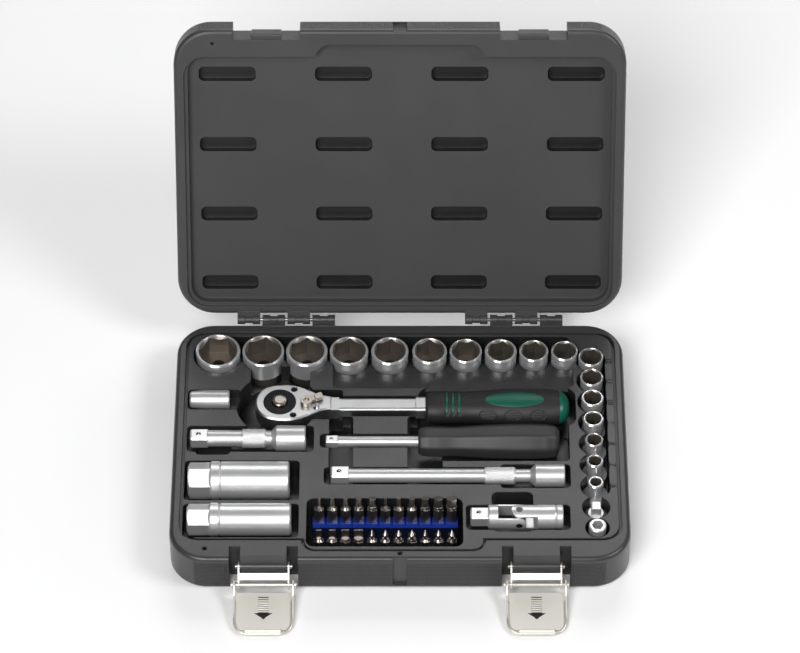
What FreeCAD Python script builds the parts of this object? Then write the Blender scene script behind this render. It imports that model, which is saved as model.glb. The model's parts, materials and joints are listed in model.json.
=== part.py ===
import FreeCAD, Part
import math
import os

V = FreeCAD.Vector

# Case, all sizes in millimetres
CASE_W = 300.0
CASE_D = 202.0
BASE_H = 30.0
LID_H = 20.0
CORNER_R = 25.0
EDGE_R = 3.0
WALL = 2.4
LID_OPEN = 117.0
LID_GAP = 0.4
TRAY_DROP = 0.4
GROOVE_DEPTH = 2.0
GROOVE_W = 2.0
STEP_DEPTH = 2.6
RECESS_DEPTH = 9.0

# Hinge
KNUCKLE_R = 3.2
PIN_R = 1.2
HINGE_OFF = 3.8
RUN = 0.05
KNUCKLE_LEN = 15.2
KNUCKLE_PITCH = 16.9
HINGE_X = 77.0

# Latch
LATCH_X = 88.4
LATCH_W = 44.6
LEVER_W = 32.6
LEVER_LEN = 35.5
LINK_LEN = 12.0
SHEET = 1.0

# Square drives and fits
DRIVE_38 = 9.5
DRIVE_14 = 6.3
FEMALE_PLAY = 0.2
POCKET_PLAY = 1.6
FLOOR_PLAY = 0.5
SOCKET_H = 28.0
SOCKET_TOP = BASE_H + 4.3

HINGE_Y = CASE_D / 2 + HINGE_OFF
HINGE_Z = BASE_H + LID_GAP / 2
TRAY_Z = BASE_H - TRAY_DROP
SOCKET_Z = SOCKET_TOP - SOCKET_H

# Back row: hexagon size, outside diameter, centre x, hexagon turn in degrees
ROW_Y = 73.9
BACK_ROW = [
    (22, 29.8, -122.3, 0), (21, 27.9, -91.9, 22), (20, 27.8, -62.6, 30), (19, 25.8, -34.3, 26),
    (18, 25.0, -6.8, 24), (17, 23.2, 19.9, 30), (16, 21.6, 44.2, 0), (15, 21.4, 67.7, 18),
    (14, 19.4, 89.9, 20), (13, 17.8, 110.5, 4)]
# Right column: hexagon size, mouth diameter, centre y, hexagon turn in degrees
COL_X = 128.1
COLUMN = [
    (12, 16.6, 68.5, 10), (11, 15.3, 50.5, 30), (10, 14.8, 32.5, 30), (9, 13.6, 14.5, 14),
    (8, 11.9, -3.5, 12), (7, 11.0, -21.5, 14), (6, 10.3, -39.5, 12)]
COL_DRIVE_D = 16.8

RATCHET = V(-80.0, 30.5, 26.0)
SPINNER = V(-49.2, 0.3, 27.2)
EXT_75 = V(-138.8, 2.1, 28.3)
EXT_150 = V(-45.5, -30.0, 28.8)
SPARK_21 = V(-139.2, -31.8, 25.8)
SPARK_16 = V(-138.8, -65.7, 27.5)
COUPLER = V(-140.0, 35.8, 28.0)
U_JOINT = V(45.8, -64.3, 28.5)
BIT_RAIL = V(-57.0, -63.6, 13.4)
BIT_FRONT = -89.6
BIT_LEAN = 19.0
BIT_PITCH = 8.65
BIT_COUNT = 11
BIT_LEN = 25.0
BIT_AF = 6.35
BIT_ROWS = 17.3
BIT_STEP = 13.4
RAIL_HALF = 4.6
STEP_ADAPTER = V(128.0, -57.1, 6.5)
BIT_ADAPTER = V(128.4, -74.1, 6.5)


def box(x0, x1, y0, y1, z0, z1):
    return Part.makeBox(x1 - x0, y1 - y0, z1 - z0, V(x0, y0, z0))


def rod_x(r, x0, x1, y, z):
    return Part.makeCylinder(r, x1 - x0, V(x0, y, z), V(1, 0, 0))


def rod_z(r, z0, z1, x, y):
    return Part.makeCylinder(r, z1 - z0, V(x, y, z0), V(0, 0, 1))


def fuse(shapes):
    return shapes[0].multiFuse(shapes[1:]).removeSplitter()


def plate(x0, x1, y0, y1, z0, z1, r):
    """Upright block with its four corners rounded to radius r."""
    block = box(x0, x1, y0, y1, z0, z1)
    upright = [e for e in block.Edges if abs(e.Vertexes[0].Z - e.Vertexes[-1].Z) > 0.1]
    return block.makeFillet(r, upright)


def flat_edges(shape, z):
    """Edges of a shape that lie at one height."""
    return [e for e in shape.Edges if abs(e.BoundBox.ZMin - z) < 0.01 and abs(e.BoundBox.ZMax - z) < 0.01]


def turned(profile, base, axis):
    """Solid of revolution from (distance along axis, radius) steps starting at base."""
    side = V(0, 0, 1) if abs(axis.z) < 0.5 else V(1, 0, 0)
    first = profile[0][0]
    last = profile[-1][0]
    rim = [base + axis * a + side * r for a, r in profile]
    wire = Part.makePolygon([base + axis * first] + rim + [base + axis * last, base + axis * first])
    return Part.Face(wire).revolve(base, axis, 360)


def polygon(n, across, base, axis, length, turn=0.0):
    """Prism with n sides measured across flats, its first corner turned about the axis."""
    r = across / 2 / math.cos(math.pi / n)
    side = V(0, 0, 1) if abs(axis.z) < 0.5 else V(1, 0, 0)
    spin = FreeCAD.Rotation(axis, 1)
    points = []
    for i in range(n + 1):
        spin = FreeCAD.Rotation(axis, turn + 360.0 * i / n)
        points.append(base + spin.multVec(side * r))
    return Part.Face(Part.makePolygon(points)).extrude(axis * length)


def square_x(across, x0, x1, y, z):
    half = across / 2
    return box(x0, x1, y - half, y + half, z - half, z + half)


def socket(hexagon, d, x, y, turn, drive_d, split):
    """Drive socket standing mouth up, with its wider or narrower drive end below split."""
    top = SOCKET_TOP
    z0 = SOCKET_Z
    r = d / 2
    rd = drive_d / 2
    low = SOCKET_H - split
    profile = [(0, rd - 0.8), (0.8, rd), (low - 1.2, rd), (low, r), (SOCKET_H - 0.8, r), (SOCKET_H, r - 0.8)]
    body = turned(profile, V(x, y, z0), V(0, 0, 1))
    depth = SOCKET_H - 13.0
    play = hexagon + 0.3
    bore = polygon(6, play, V(x, y, top - depth), V(0, 0, 1), depth + 1, turn)
    corner = play / math.sqrt(3)
    mouth = Part.makeCone(play / 2, corner + 0.3, corner + 0.3 - play / 2, V(x, y, top - corner - 0.3 + play / 2),
                          V(0, 0, 1))
    through = rod_z(min(4.2, hexagon * 0.4), z0 + 5, top - depth + 0.1, x, y)
    female = box(x - 4.85, x + 4.85, y - 4.85, y + 4.85, z0 - 1, z0 + 10.5)
    return body.cut(fuse([bore, through, female])).cut(mouth)


def pocket_round(x, y, r, floor, grow):
    return rod_z(r + grow, floor - grow, BASE_H + 2, x, y)


def pocket_box(x0, x1, y0, y1, floor, grow, r=3.0):
    return plate(x0 - grow, x1 + grow, y0 - grow, y1 + grow, floor - grow, BASE_H + 2, r + grow)


def finger_room(r, z):
    """Clear width in front of a lying tool of radius r whose axis is at height z."""
    return 0.755 * r + (TRAY_Z - z + 0.656 * r) / 1.15


def lying(at, r, x0, x1, drop, grow):
    """Well for a bar of radius r lying along x, wider in front so that it can be gripped."""
    return pocket_box(x0, x1, at.y - finger_room(r, at.z), at.y + r + 1.2, at.z - r - drop, grow)


def pockets(grow):
    """Every well in the tray, each one enlarged by grow on all sides and below."""
    wells = []
    floor = SOCKET_Z - FLOOR_PLAY
    for hexagon, d, x, turn in BACK_ROW:
        wells.append(pocket_round(x, ROW_Y, d / 2 + POCKET_PLAY, floor, grow))
    for hexagon, d, y, turn in COLUMN:
        wells.append(pocket_round(COL_X, y, COL_DRIVE_D / 2 + POCKET_PLAY, floor, grow))
    wells.append(pocket_box(-134.0, 114.0, ROW_Y, ROW_Y + 16.5, floor, grow, 4.0))
    wells.append(pocket_box(-45.0, 116.0, 44.5, ROW_Y, 25.5, grow, 4.0))
    wells.append(pocket_box(-100.0, -60.0, 45.0, 64.0, 14.0, grow, 4.0))
    wells.append(pocket_box(COL_X - 5, COL_X + 9.4, -46.0, 73.0, floor, grow))
    wells.append(pocket_round(STEP_ADAPTER.x, STEP_ADAPTER.y, 9.2, floor, grow))
    wells.append(pocket_round(BIT_ADAPTER.x, BIT_ADAPTER.y, 8.0, floor, grow))
    y = RATCHET.y
    wells.append(pocket_round(RATCHET.x - 2, y, 27.0, 7.5, grow))
    wells.append(pocket_box(-66.0, 16.0, y - 10.4, y + 7.6, 18.0, grow))
    wells.append(pocket_box(12.0, 117.0, y - 19.2, y + 14.6, 14.5, grow, 8.0))
    wells.append(pocket_box(-66.0, -38.0, y - 13.0, y + 13.0, 14.5, grow))
    wells.append(lying(SPINNER, 3.7, -53.0, 16.0, 1.0, grow))
    wells.append(lying(SPINNER, 12.4, 8.0, 112.0, 1.2, grow))
    wells.append(pocket_box(-47.0, -31.0, SPINNER.y - 38.0, SPINNER.y + 20.0, 10.0, grow))
    wells.append(pocket_box(5.0, 28.0, SPINNER.y - 38.0, SPINNER.y + 20.0, 10.0, grow))
    wells.append(lying(EXT_150, 5.5, -50.0, 112.0, 1.0, grow))
    wells.append(lying(EXT_150, 7.8, 66.0, 112.0, 1.2, grow))
    y = BIT_RAIL.y
    wells.append(pocket_box(-61.0, 41.0, BIT_FRONT, y + 14.0, 3.4, grow, 5.0))
    wells.append(lying(U_JOINT, 8.0, 43.0, 111.0, 1.4, grow))
    wells.append(pocket_box(60.0, 87.0, U_JOINT.y - 13.0, U_JOINT.y + 20.0, 16.0, grow, 4.0))
    wells.append(lying(EXT_75, 8.6, -141.0, -57.0, 1.0, grow))
    wells.append(pocket_box(-135.0, -112.0, EXT_75.y - 15.0, EXT_75.y + 9.6, 14.0, grow))
    wells.append(pocket_box(-141.5, -66.0, SPARK_21.y - 19.4, SPARK_21.y + 14.0, 12.0, grow))
    wells.append(pocket_box(-141.5, -66.0, SPARK_16.y - 16.4, SPARK_16.y + 11.6, 15.4, grow))
    wells.append(lying(COUPLER, 6.4, -141.5, -106.0, 1.0, grow))
    return wells


def latch_recess(side, grow):
    """Space in the front wall of the base for one latch."""
    x = side * LATCH_X
    y = -CASE_D / 2
    half = LATCH_W / 2 + grow
    slots = [box(x - half, x - half + 7.2 + 2 * grow, y - 1, y + 11.5 + grow, -1, BASE_H + 1),
             box(x + half - 7.2 - 2 * grow, x + half, y - 1, y + 11.5 + grow, -1, BASE_H + 1)]
    under = box(x - half, x + half, y - 1, y + 8.5 + grow, -1, 11.0 + grow)
    face = box(x - half, x + half, y - 1, y + 3.4 + grow, -1, BASE_H + 1)
    return fuse(slots + [under, face])


def knuckle(x, up):
    """One hinge knuckle: two eyes and a slimmer middle, joined to the shell above or below."""
    half = KNUCKLE_LEN / 2
    eyes = [rod_x(KNUCKLE_R, x - half, x - half + 5.0, HINGE_Y, HINGE_Z),
            rod_x(KNUCKLE_R, x + half - 5.0, x + half, HINGE_Y, HINGE_Z),
            rod_x(KNUCKLE_R - 0.8, x - half, x + half, HINGE_Y, HINGE_Z)]
    z0 = HINGE_Z if up else HINGE_Z - KNUCKLE_R
    web = box(x - half, x + half, CASE_D / 2 - 2, HINGE_Y, z0, z0 + KNUCKLE_R)
    return fuse(eyes + [web])


def knuckles(up):
    """The knuckles of one shell, and the clearance they need in the other shell."""
    found = []
    rooms = []
    for side in (-1, 1):
        start = side * HINGE_X - 1.5 * KNUCKLE_PITCH
        for i in range(4):
            x = start + i * KNUCKLE_PITCH
            mine = (i % 2 == 0) == up
            if mine:
                found.append(knuckle(x, up))
            else:
                rooms.append(rod_x(KNUCKLE_R + 0.8, x - KNUCKLE_LEN / 2 - 0.8, x + KNUCKLE_LEN / 2 + 0.8,
                                   HINGE_Y, HINGE_Z))
    bores = [rod_x(PIN_R + RUN, side * HINGE_X - 40, side * HINGE_X + 40, HINGE_Y, HINGE_Z) for side in (-1, 1)]
    return found, rooms + bores


def open_lid(shape):
    """Turn a shape from the closed position to the open position about the hinge."""
    shape.rotate(V(0, HINGE_Y, HINGE_Z), V(-1, 0, 0), LID_OPEN)
    return shape


def tray_area(inset, z):
    """Outline of the tray inside the rim, from height z upwards."""
    wide = plate(-143.8 + inset, 144.5 - inset, -84.8 + inset, 93.6 - inset, z, BASE_H + 1, 13.0 - inset)
    tongue = plate(-64.0 + inset, 56.0 - inset, -93.8 + inset, 0, z, BASE_H + 1, 9.0 - inset)
    return wide.fuse(tongue)


def base_shell():
    half_w = CASE_W / 2
    half_d = CASE_D / 2
    outer = plate(-half_w, half_w, -half_d, half_d, 0, BASE_H, CORNER_R)
    outer = outer.makeFillet(EDGE_R, flat_edges(outer, BASE_H) + flat_edges(outer, 0))
    roof = TRAY_Z - GROOVE_DEPTH - WALL
    inner = plate(-half_w + WALL, half_w - WALL, -half_d + WALL, half_d - WALL, WALL, roof, CORNER_R - WALL)
    found, rooms = knuckles(False)
    groove = tray_area(0.0, TRAY_Z - GROOVE_DEPTH).cut(tray_area(GROOVE_W, TRAY_Z - GROOVE_DEPTH - 1))
    cuts = pockets(0.0) + [tray_area(0.0, TRAY_Z), groove]
    keep = pockets(WALL)
    for side in (-1, 1):
        cuts.append(latch_recess(side, 0.0))
        keep.append(latch_recess(side, WALL))
    cuts.append(box(-4.5, 4.5, -half_d - 1, -half_d + 2.0, 3.0, BASE_H + 1))
    cuts.append(rod_z(1.6, BASE_H - 5, BASE_H + 1, 0, -half_d + 5.5))
    cuts.append(rod_z(1.6, BASE_H - 5, BASE_H + 1, -126.5, -half_d + 9.5))
    for dx, dz in ((-4.5, 0), (4.5, 0)):
        keep.append(box(dx - 5, dx + 5, -half_d - 1, -half_d + 8.5, 0, BASE_H))
    keep.append(rod_z(4.0, 0, BASE_H, -126.5, -half_d + 9.5))
    void = inner.cut(fuse(keep))
    shell = outer.cut(void)
    shell = shell.fuse(found)
    shell = shell.cut(fuse(cuts))
    shell = shell.cut(fuse(rooms))
    for side in (-1, 1):
        x = side * LATCH_X
        bar = rod_x(3.4, x - LATCH_W / 2 + 7.2, x + LATCH_W / 2 - 7.2, -half_d + 5.0, 17.0)
        hole = rod_x(1.5, x - 16, x + 16, -half_d + 5.0, 17.0)
        shell = shell.fuse(bar).cut(hole)
    return shell


def lid_slots(grow):
    slots = []
    for column in range(4):
        for row in range(4):
            x = -114.8 + 77.3 * column
            y = 81.1 - 49.5 * row
            slots.append(plate(x - 18.9 - grow, x + 18.9 + grow, y - 5.0 - grow, y + 5.0 + grow,
                               BASE_H, BASE_H + 15.6 + grow, 3.5 + grow))
    return slots


def lid_recess(grow):
    """Two-step recess: a shallow wide step and the deep panel inside it."""
    z0 = BASE_H - 1
    z1 = HINGE_Z + STEP_DEPTH + grow
    z2 = HINGE_Z + RECESS_DEPTH + grow
    wide = plate(-143.4 - grow, 143.4 + grow, -82.0 - grow, 95.4 + grow, z0, z1, 14.0)
    tongue = plate(-56.0 - grow, 56.0 + grow, -90.5 - grow, 0, z0, z2, 10.0)
    deep = plate(-140.8 - grow, 140.8 + grow, -82.0 - grow, 93.0 + grow, z0, z2, 12.0)
    return fuse([wide, tongue, deep])


def lid_shell():
    half_w = CASE_W / 2
    half_d = CASE_D / 2
    z0 = BASE_H + LID_GAP
    z1 = z0 + LID_H
    outer = plate(-half_w, half_w, -half_d, half_d, z0, z1, CORNER_R)
    outer = outer.makeFillet(EDGE_R, flat_edges(outer, z0) + flat_edges(outer, z1))
    inner = plate(-half_w + WALL, half_w - WALL, -half_d + WALL, half_d - WALL, z0 + WALL, z1 - WALL, CORNER_R - WALL)
    found, rooms = knuckles(True)
    cuts = [lid_recess(0.0)] + lid_slots(0.0)
    keep = [lid_recess(WALL)] + lid_slots(WALL)
    tabs = []
    for side in (-1, 1):
        x = side * LATCH_X
        notch = box(x - 22.3, x + 22.3, -half_d - 1, -half_d + 7.0, z0 - 1, z1 + 1)
        cuts.append(notch)
        keep.append(box(x - 24.7, x + 24.7, -half_d - 1, -half_d + 9.4, z0 - 1, z1 + 1))
        lug = box(x - 10.0, x + 10.0, -half_d + 3.2, -half_d + 7.5, z0 + 1.0, z0 + 12.0)
        tabs.append(lug.makeFillet(1.2, [e for e in lug.Edges if e.BoundBox.YMax < -half_d + 3.3]))
    cuts.append(box(-4.5, 4.5, -half_d - 1, -half_d + 2.0, z0 - 1, z1 - 3))
    keep.append(box(-7.0, 7.0, -half_d - 1, -half_d + 4.5, z0 - 1, z1))
    cuts.append(rod_z(1.2, z0 - 1, z0 + 4, -124.0, -half_d + 9.5))
    keep.append(rod_z(3.6, z0 - 1, z0 + 7, -124.0, -half_d + 9.5))
    void = inner.cut(fuse(keep))
    shell = outer.cut(void).fuse(found).cut(fuse(cuts)).cut(fuse(rooms)).fuse(tabs)
    return open_lid(shell)


def hinge_pins():
    half = 2 * KNUCKLE_PITCH - 1.0
    return [rod_x(PIN_R, x - half, x + half, HINGE_Y, HINGE_Z) for x in (-HINGE_X, HINGE_X)]


LATCH_AXIS = V(0, -CASE_D / 2 + 5.0, 17.0)
LINK_DROP = 35.0
LEVER_DROP = 12.0
ROD_R = 1.5
ROD_AXIS = V(0, LATCH_AXIS.y - LINK_LEN * math.cos(math.radians(LINK_DROP)),
             LATCH_AXIS.z - LINK_LEN * math.sin(math.radians(LINK_DROP)))


def latch_pins():
    return [rod_x(1.5, x - 18.5, x + 18.5, LATCH_AXIS.y, LATCH_AXIS.z) for x in (-LATCH_X, LATCH_X)]


def strip(points, x0, x1):
    """Bent plate: a closed outline in the y-z plane carried along x."""
    wire = Part.makePolygon([V(x0, y, z) for y, z in points + points[:1]])
    return Part.Face(wire).extrude(V(x1 - x0, 0, 0))


def latch_link(side):
    """Bracket with two ears on the pivot pin, a web and two ears for the rod."""
    x = side * LATCH_X
    ears = []
    for s in (-1, 1):
        x0 = x + s * 16.2 - SHEET / 2
        near = rod_x(3.2, x0, x0 + SHEET, LATCH_AXIS.y, LATCH_AXIS.z)
        far = rod_x(2.8, x0, x0 + SHEET, ROD_AXIS.y, ROD_AXIS.z)
        dy = LATCH_AXIS.y - ROD_AXIS.y
        dz = LATCH_AXIS.z - ROD_AXIS.z
        ny = -dz / LINK_LEN
        nz = dy / LINK_LEN
        arm = strip([(LATCH_AXIS.y + ny * 3.0, LATCH_AXIS.z + nz * 3.0), (ROD_AXIS.y + ny * 2.6, ROD_AXIS.z + nz * 2.6),
                     (ROD_AXIS.y - ny * 2.6, ROD_AXIS.z - nz * 2.6),
                     (LATCH_AXIS.y - ny * 3.0, LATCH_AXIS.z - nz * 3.0)], x0, x0 + SHEET)
        ears += [near, far, arm]
    dy = (LATCH_AXIS.y - ROD_AXIS.y) / LINK_LEN
    dz = (LATCH_AXIS.z - ROD_AXIS.z) / LINK_LEN
    a = (LATCH_AXIS.y - 4.6 * dy - 2.4 * dz, LATCH_AXIS.z - 4.6 * dz + 2.4 * dy)
    b = (ROD_AXIS.y + 2.9 * dy - 2.4 * dz, ROD_AXIS.z + 2.9 * dz + 2.4 * dy)
    web = strip([a, b, (b[0] - SHEET * dz, b[1] + SHEET * dy), (a[0] - SHEET * dz, a[1] + SHEET * dy)],
                x - 16.7, x + 16.7)
    body = fuse(ears + [web])
    body = body.cut(rod_x(1.5 + RUN, x - 25, x + 25, LATCH_AXIS.y, LATCH_AXIS.z))
    return body.cut(rod_x(ROD_R, x - 25, x + 25, ROD_AXIS.y, ROD_AXIS.z))


def latch_rod(side):
    x = side * LATCH_X
    ends = [rod_x(2.4, x + s * 20.6 - 0.6, x + s * 20.6 + 0.6, ROD_AXIS.y, ROD_AXIS.z) for s in (-1, 1)]
    return fuse([rod_x(ROD_R, x - 20.6, x + 20.6, ROD_AXIS.y, ROD_AXIS.z)] + ends)


def latch_lever(side):
    """Pressed lever: flat face, rolled lip at the free end and a flange down each side."""
    x = side * LATCH_X
    length = LEVER_LEN
    half = LEVER_W / 2 + 2.6
    y0 = ROD_AXIS.y
    z0 = ROD_AXIS.z
    face = plate(x - half, x + half, y0 - length + 4.0, y0 - 5.0, z0 - 2.6, z0 - 2.6 + SHEET, 6.0)
    face = face.fuse(box(x - half, x + half, y0 - 15.0, y0 - 5.0, z0 - 2.6, z0 - 2.6 + SHEET))
    flanges = []
    side_line = [(3.2, -1.6), (3.2, 1.6), (1.8, 2.9), (-2.0, 2.9), (-8.0, 0.6), (12.0 - length, -0.4),
                 (10.0 - length, -2.6), (2.2, -2.6)]
    for s in (-1, 1):
        x0 = x + s * (half + 0.2) - SHEET / 2
        flanges.append(strip([(y0 + a, z0 + b) for a, b in side_line], x0, x0 + SHEET))
    lip = rod_x(2.0, x - 11.5, x + 11.5, y0 - length + 2.6, z0 - 0.6)
    lip = lip.cut(rod_x(1.1, x - 12.5, x + 12.5, y0 - length + 2.6, z0 - 0.6))
    lip = lip.cut(box(x - 12, x + 12, y0 - length + 2.6, y0 - length + 6, z0 - 0.6, z0 + 3))
    apron = box(x - 11.5, x + 11.5, y0 - length + 2.6, y0 - length + 5.0, z0 - 2.6, z0 - 2.6 + 0.9)
    body = fuse([face, lip, apron] + flanges)
    body = body.cut(rod_x(ROD_R + RUN, x - 25, x + 25, y0, z0))
    for i in range(7):
        body = body.cut(box(x - 3.3, x + 3.3, y0 - 8.6 - 1.5 * i, y0 - 8.0 - 1.5 * i, z0 - 2.6 + 0.6, z0))
    body = body.cut(rod_z(1.4, z0 - 2.1, z0, x, y0 - 23.5))
    body.rotate(V(0, y0, z0), V(1, 0, 0), LEVER_DROP)
    return body


def drive_ball(r, sink, x, y, z):
    return Part.makeSphere(r, V(x, y, z - sink))


def extension(start, shaft_d, knurl_d, female_d, length, knurl_x, knurl_len):
    """Square drive, shaft, grip band and female end, lying along x."""
    x, y, z = start.x, start.y, start.z
    sq = 11.7
    end = length
    flare = end - 19.2
    profile = [(sq - 1.0, 4.2), (sq, shaft_d / 2), (knurl_x, shaft_d / 2), (knurl_x + 0.4, knurl_d / 2),
               (knurl_x + knurl_len - 0.4, knurl_d / 2), (knurl_x + knurl_len, shaft_d / 2 - 0.3),
               (flare - 3.5, shaft_d / 2 - 0.3), (flare, female_d / 2), (end - 0.7, female_d / 2),
               (end, female_d / 2 - 0.7)]
    body = turned(profile, V(x, y, z), V(1, 0, 0))
    tip = square_x(DRIVE_38, x, x + sq, y, z)
    tip = tip.makeChamfer(1.0, [e for e in tip.Edges if e.BoundBox.XLength > 1.0 or e.BoundBox.XMax < x + 0.1])
    body = body.fuse(tip)
    body = body.cut(square_x(DRIVE_38 + FEMALE_PLAY, x + end - 11.5, x + end + 1, y, z))
    ball = drive_ball(2.2, 1.5, x + 5.5, y, z + DRIVE_38 / 2)
    return body.cut(ball), ball


def spark_socket(start, hex_af, body_d, length, collar_d, opening_d):
    """Deep socket with a hexagon drive end, a collar and a round body, lying along x."""
    x, y, z = start.x, start.y, start.z
    head = polygon(6, hex_af, V(x, y, z), V(1, 0, 0), 16.0, 0)
    dome = turned([(0, hex_af / 2 - 1.0), (1.6, hex_af / 2 + 2.0), (16.2, hex_af / 2 + 2.0)], V(x, y, z), V(1, 0, 0))
    head = head.common(dome)
    profile = [(14.0, collar_d / 2 - 2), (15.5, collar_d / 2), (20.5, collar_d / 2), (21.0, body_d / 2 - 0.8),
               (22.0, body_d / 2), (length - 1.0, body_d / 2), (length, body_d / 2 - 1.0)]
    body = head.fuse(turned(profile, V(x, y, z), V(1, 0, 0)))
    bore = rod_x(opening_d / 2, x + 24, x + length + 1, y, z)
    mouth = polygon(6, opening_d * 0.93, V(x + length - 16, y, z), V(1, 0, 0), 17, 30)
    female = square_x(DRIVE_38 + FEMALE_PLAY, x - 1, x + 11.5, y, z)
    link = rod_x(4.0, x + 11, x + 25, y, z)
    shell = body.cut(fuse([bore, mouth, female, link]))
    outer = rod_x(opening_d / 2, x + 30, x + 44, y, z)
    insert = outer.cut(rod_x(opening_d / 2 - 2.6, x + 29, x + 45, y, z))
    return shell, insert


def loft_x(sections, y, z):
    """Smooth solid along x through ellipses given as (x, width, thickness)."""
    wires = []
    for x, w, t in sections:
        big = max(w, t) / 2
        small = min(w, t) / 2
        curve = Part.Ellipse(V(0, 0, 0), big, small)
        wire = Part.Wire([curve.toShape()])
        wire.rotate(V(0, 0, 0), V(0, 0, 1), 90)
        wire.rotate(V(0, 0, 0), V(0, 1, 0), 90)
        wire.translate(V(x, y, z))
        wires.append(wire)
    return Part.makeLoft(wires, True, False)


def facets_x(sections, y, z, n, flat):
    """Ruled solid along x through flattened polygons given as (x, radius)."""
    wires = []
    for x, r in sections:
        points = []
        for i in range(n + 1):
            a = 2 * math.pi * (i + 0.5) / n
            points.append(V(x, y + r * math.cos(a), z + flat * r * math.sin(a)))
        wires.append(Part.makePolygon(points))
    return Part.makeLoft(wires, True, True)


HEAD_TOP = RATCHET.z + 6.0
HEAD_LOW = RATCHET.z - 7.0
LEVER_AT = V(RATCHET.x + 17.7, RATCHET.y - 1.0, 0)
GEAR_R = 11.0
SCREWS = [(9.4, 11.0), (9.0, -11.2)]


def ratchet_body():
    x, y = RATCHET.x, RATCHET.y
    outline = [(-16.4, 0), (-14.6, 7.4), (-9.2, 13.0), (-1.0, 15.2), (8.0, 15.2), (17.0, 12.2), (26.0, 7.4),
               (34.0, 5.6), (39.5, 5.5)]
    upper = [V(x + a, y + b, HEAD_LOW) for a, b in outline]
    lower = [V(x + a, y - b, HEAD_LOW) for a, b in reversed(outline)]
    curve = Part.BSplineCurve()
    curve.interpolate(lower + upper[1:])
    closing = Part.makeLine(upper[-1], lower[0])
    face = Part.Face(Part.Wire([curve.toShape(), closing]))
    head = face.extrude(V(0, 0, HEAD_TOP - HEAD_LOW))
    rim = [e for e in flat_edges(head, HEAD_TOP) + flat_edges(head, HEAD_LOW) if e.BoundBox.XLength > 5]
    head = head.makeChamfer(1.0, rim)
    bar = box(x + 38.0, x + 92.0, y - 5.5, y + 5.5, RATCHET.z - 4.3, RATCHET.z + 4.3)
    bar = bar.makeFillet(2.0, [e for e in bar.Edges if e.BoundBox.XLength > 5])
    neck = box(x + 30.0, x + 40.0, y - 5.5, y + 5.5, HEAD_LOW, HEAD_LOW + 2.8)
    collar = box(x + 90.5, x + 97.1, y - 6.4, y + 6.4, RATCHET.z - 5.2, RATCHET.z + 5.2)
    collar = collar.makeFillet(2.4, [e for e in collar.Edges if e.BoundBox.XLength > 5])
    tang = box(x + 97.1, x + 170.0, y - 4.5, y + 4.5, RATCHET.z - 3.0, RATCHET.z + 3.0)
    body = fuse([head, bar, collar, tang])
    body = body.cut(box(x + 34.0, x + 90.5, y - 7, y + 7, HEAD_LOW - 1, RATCHET.z - 4.3))
    body = body.cut(box(x + 34.0, x + 90.5, y - 7, y + 7, RATCHET.z + 4.3, HEAD_TOP + 1))
    cavity = rod_z(GEAR_R + 0.4, HEAD_LOW + 1.6, HEAD_TOP - 1.6, x, y)
    top = rod_z(10.7 + 0.1, HEAD_TOP - 2.0, HEAD_TOP + 1, x, y)
    low = rod_z(8.0 + RUN, HEAD_LOW - 1, HEAD_LOW + 2, x, y)
    pawl_room = rod_z(6.6, HEAD_LOW + 2.4, HEAD_TOP - 2.4, LEVER_AT.x, LEVER_AT.y)
    spindle = rod_z(2.0 + RUN, HEAD_TOP - 3.0, HEAD_TOP + 1, LEVER_AT.x, LEVER_AT.y)
    cuts = [cavity, top, low, pawl_room, spindle]
    for dx, dy in SCREWS + [(24.3, -4.6)]:
        cuts.append(rod_z(2.2, HEAD_TOP - 3.0, HEAD_TOP + 1, x + dx, y + dy))
    return body.cut(fuse(cuts))


def ratchet_screw(dx, dy):
    x = RATCHET.x + dx
    y = RATCHET.y + dy
    screw = rod_z(2.2, HEAD_TOP - 3.0, HEAD_TOP - 0.9, x, y)
    return screw.cut(polygon(6, 2.0, V(x, y, HEAD_TOP - 1.9), V(0, 0, 1), 2))


def ratchet_gear():
    x, y = RATCHET.x, RATCHET.y
    low = HEAD_LOW + 1.8
    high = HEAD_TOP - 1.8
    wheel = rod_z(GEAR_R, low, high, x, y)
    gaps = []
    for i in range(36):
        a = math.radians(10 * i)
        gaps.append(polygon(3, 0.6, V(x + GEAR_R * math.cos(a), y + GEAR_R * math.sin(a), low - 0.1),
                            V(0, 0, 1), high - low + 0.2, 10.0 * i + 180))
    wheel = wheel.cut(gaps)
    hub = rod_z(8.0, HEAD_LOW - 0.2, low + 0.1, x, y)
    half = DRIVE_38 / 2
    square = box(x - half, x + half, y - half, y + half, HEAD_LOW - 9.5, HEAD_LOW)
    square = square.makeChamfer(0.9, flat_edges(square, HEAD_LOW - 9.5))
    body = fuse([wheel, hub, square])
    body = body.cut(rod_z(5.2, HEAD_TOP - 6.0, HEAD_TOP, x, y))
    body = body.cut(rod_z(1.2 + RUN, HEAD_LOW - 6.0, HEAD_TOP - 5.9, x, y))
    ball = Part.makeSphere(2.0, V(x, y - half + 1.3, HEAD_LOW - 5.0))
    return body.cut(ball), ball


def ratchet_ring():
    x, y = RATCHET.x, RATCHET.y
    ring = rod_z(10.65, HEAD_TOP - 1.8, HEAD_TOP + 0.2, x, y)
    return ring.cut(rod_z(5.3, HEAD_TOP - 3, HEAD_TOP + 1, x, y))


def ratchet_button():
    x, y = RATCHET.x, RATCHET.y
    profile = [(-3.4, 5.0), (1.6, 5.0), (2.4, 4.3), (2.6, 3.2)]
    cap = turned(profile, V(x, y, HEAD_TOP), V(0, 0, 1))
    return cap.fuse(rod_z(1.2, HEAD_LOW - 3.0, HEAD_TOP - 3.3, x, y))


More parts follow.
